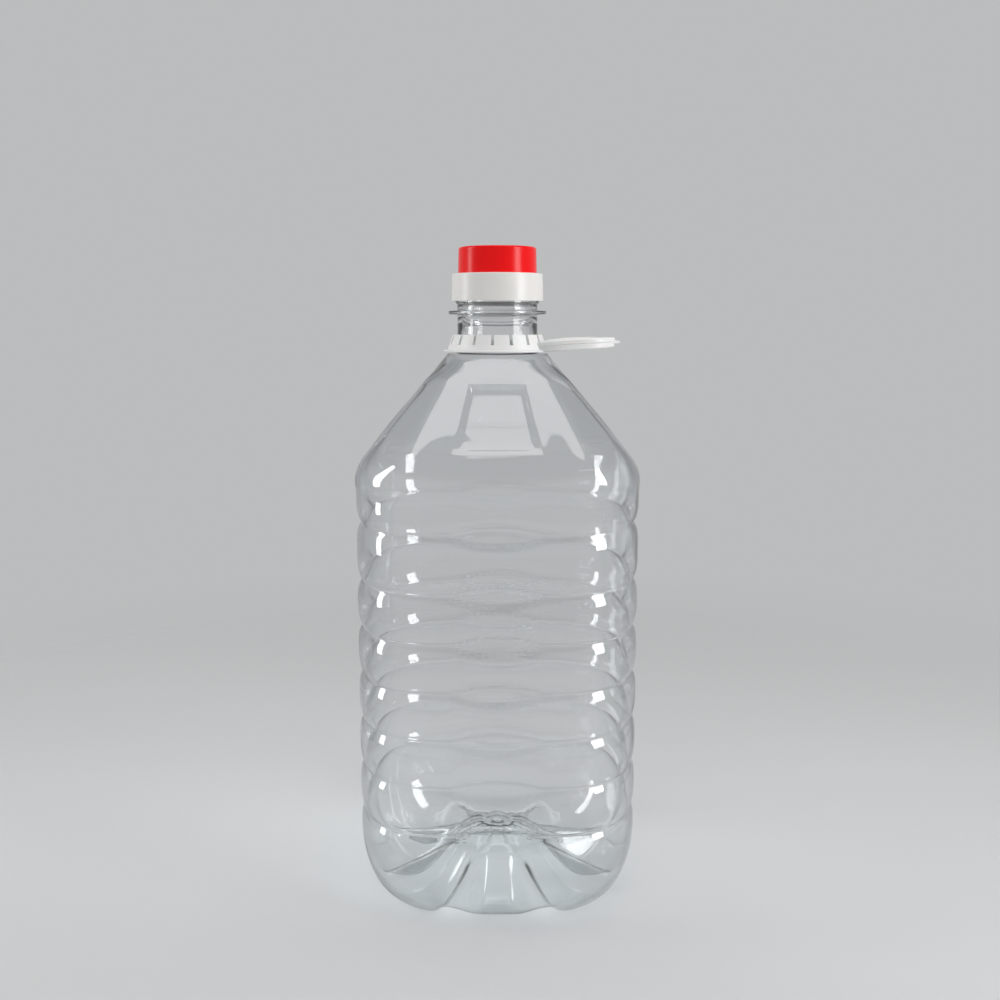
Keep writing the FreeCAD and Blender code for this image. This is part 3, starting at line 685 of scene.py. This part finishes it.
def joinHandle():
    ring = runTree(buildFinger(), buildCollarTree(), collarRepeat, "handleCollar")
    swept = buildLoop()
    build = bmesh.new()
    build.from_mesh(ring.data)
    build.from_mesh(swept.data)
    bmesh.ops.remove_doubles(build, verts=build.verts, dist=softEdge["weld"])
    bmesh.ops.recalc_face_normals(build, faces=build.faces)
    for face in build.faces:
        face.smooth = True
    mesh = bpy.data.meshes.new("pushOnHandle")
    build.to_mesh(mesh)
    build.free()
    for piece in (ring, swept):
        bpy.data.objects.remove(piece)
    mesh.materials.append(whiteHandle)
    handle = placePiece("pushOnHandle", mesh)
    bevel = handle.modifiers.new("edges", "BEVEL")
    bevel.width, bevel.segments = softEdge["width"], softEdge["segments"]
    bevel.limit_method, bevel.angle_limit = "ANGLE", softEdge["angle"]
    bevel.harden_normals = True
    return handle


pushOnHandle = joinHandle()
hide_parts("handle")
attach(pushOnHandle, "handle_body")
print("handle:", len(pushOnHandle.data.polygons), "faces")

# floor, background, lamps and camera; lamps are place, width, height and power
studio = {
    "pale": (0.50, 0.505, 0.51, 1), "ceiling": (0.04, 0.042, 0.045, 1), "paleBelow": 0.3, "ceilingAbove": 0.75,
    "fill": 0.42, "floor": (0.62, 0.625, 0.63, 1), "floorRoughness": 0.75, "floorGloss": 0.2,
    "floorRadius": 3.0, "floorSides": 96, "fadeStart": 0.28, "fadeEnd": 0.85, "lampTarget": (0, 0, 0.17),
}
lamps = {
    "leftStrip": ((-1.05, -0.05, 0.50), 0.22, 1.1, 5),
    "rightStrip": ((0.90, -0.50, 0.55), 0.32, 0.9, 7),
    "topSoft": ((0.0, 0.0, 1.3), 0.8, 0.8, 3.5),
}
cameraView = {"place": (0.0014, -0.6323, 0.31715), "tilt": radians(81.1), "lens": 41.4, "sensor": 36}


# a disc that fades into the background
def buildFloor():
    count, radius = studio["floorSides"], studio["floorRadius"]
    angles = [2 * pi * number / count for number in range(count)]
    rim = [(radius * cos(angle), radius * sin(angle), 0) for angle in angles]
    floor = placeMesh("floor", rim, [tuple(range(count))])
    material, tree, shader, output = newMaterial("paleFloor")
    shader.inputs["Base Color"].default_value = studio["floor"]
    shader.inputs["Roughness"].default_value = studio["floorRoughness"]
    shader.inputs["Specular IOR Level"].default_value = studio["floorGloss"]
    place = addNode(tree, "ShaderNodeTexCoord").outputs["Object"]
    far = Term(addNode(tree, "ShaderNodeVectorMath", {0: place}, operation="LENGTH").outputs["Value"])
    fade = eased(far, studio["fadeStart"], studio["fadeEnd"])
    clear = addNode(tree, "ShaderNodeBsdfTransparent")
    mix = addNode(tree, "ShaderNodeMixShader", {0: fade, 1: shader.outputs[0], 2: clear.outputs[0]})
    tree.links.new(mix.outputs[0], output.inputs["Surface"])
    floor.data.materials.append(material)


# an even fill lights the jug, while what is seen, directly or in the plastic, is a grey that darkens upward
def buildWorld():
    world = bpy.data.worlds.new("studio")
    scene.world = world
    world.use_nodes = True
    tree = world.node_tree
    fill, output = tree.nodes["Background"], tree.nodes["World Output"]
    fill.inputs["Color"].default_value = (1, 1, 1, 1)
    fill.inputs["Strength"].default_value = studio["fill"]
    direction = addNode(tree, "ShaderNodeTexCoord").outputs["Generated"]
    upward = Term(addNode(tree, "ShaderNodeSeparateXYZ", {"Vector": direction}).outputs["Z"])
    shade = addNode(tree, "ShaderNodeMix", data_type="RGBA")
    feed(tree, shade.inputs[0], eased(upward, studio["paleBelow"], studio["ceilingAbove"]))
    shade.inputs[6].default_value = studio["pale"]
    shade.inputs[7].default_value = studio["ceiling"]
    shown = addNode(tree, "ShaderNodeBackground", {"Color": shade.outputs[2]})
    path = addNode(tree, "ShaderNodeLightPath").outputs
    seen = Term(path["Is Camera Ray"]) + Term(path["Is Glossy Ray"]) + Term(path["Is Transmission Ray"])
    mixInputs = {0: least(seen, 1.0), 1: fill.outputs[0], 2: shown.outputs[0]}
    mix = addNode(tree, "ShaderNodeMixShader", mixInputs)
    tree.links.new(mix.outputs[0], output.inputs["Surface"])


def addLamp(name, place, width, height, power):
    light = bpy.data.lights.new(name, "AREA")
    light.shape, light.size, light.size_y, light.energy = "RECTANGLE", width, height, power
    lamp = placePiece(name, light)
    lamp.location = place
    toward = Vector(studio["lampTarget"]) - Vector(place)
    lamp.rotation_euler = toward.to_track_quat("-Z", "Y").to_euler()


def addCamera():
    camera = placePiece("camera", bpy.data.cameras.new("camera"))
    camera.location = cameraView["place"]
    camera.rotation_euler = (cameraView["tilt"], 0, 0)
    camera.data.lens = cameraView["lens"]
    camera.data.sensor_width = cameraView["sensor"]
    scene.camera = camera


buildFloor()
buildWorld()
for name, setting in lamps.items():
    addLamp(name, *setting)
addCamera()
scene.view_settings.view_transform = "Standard"
print("studio and camera set")
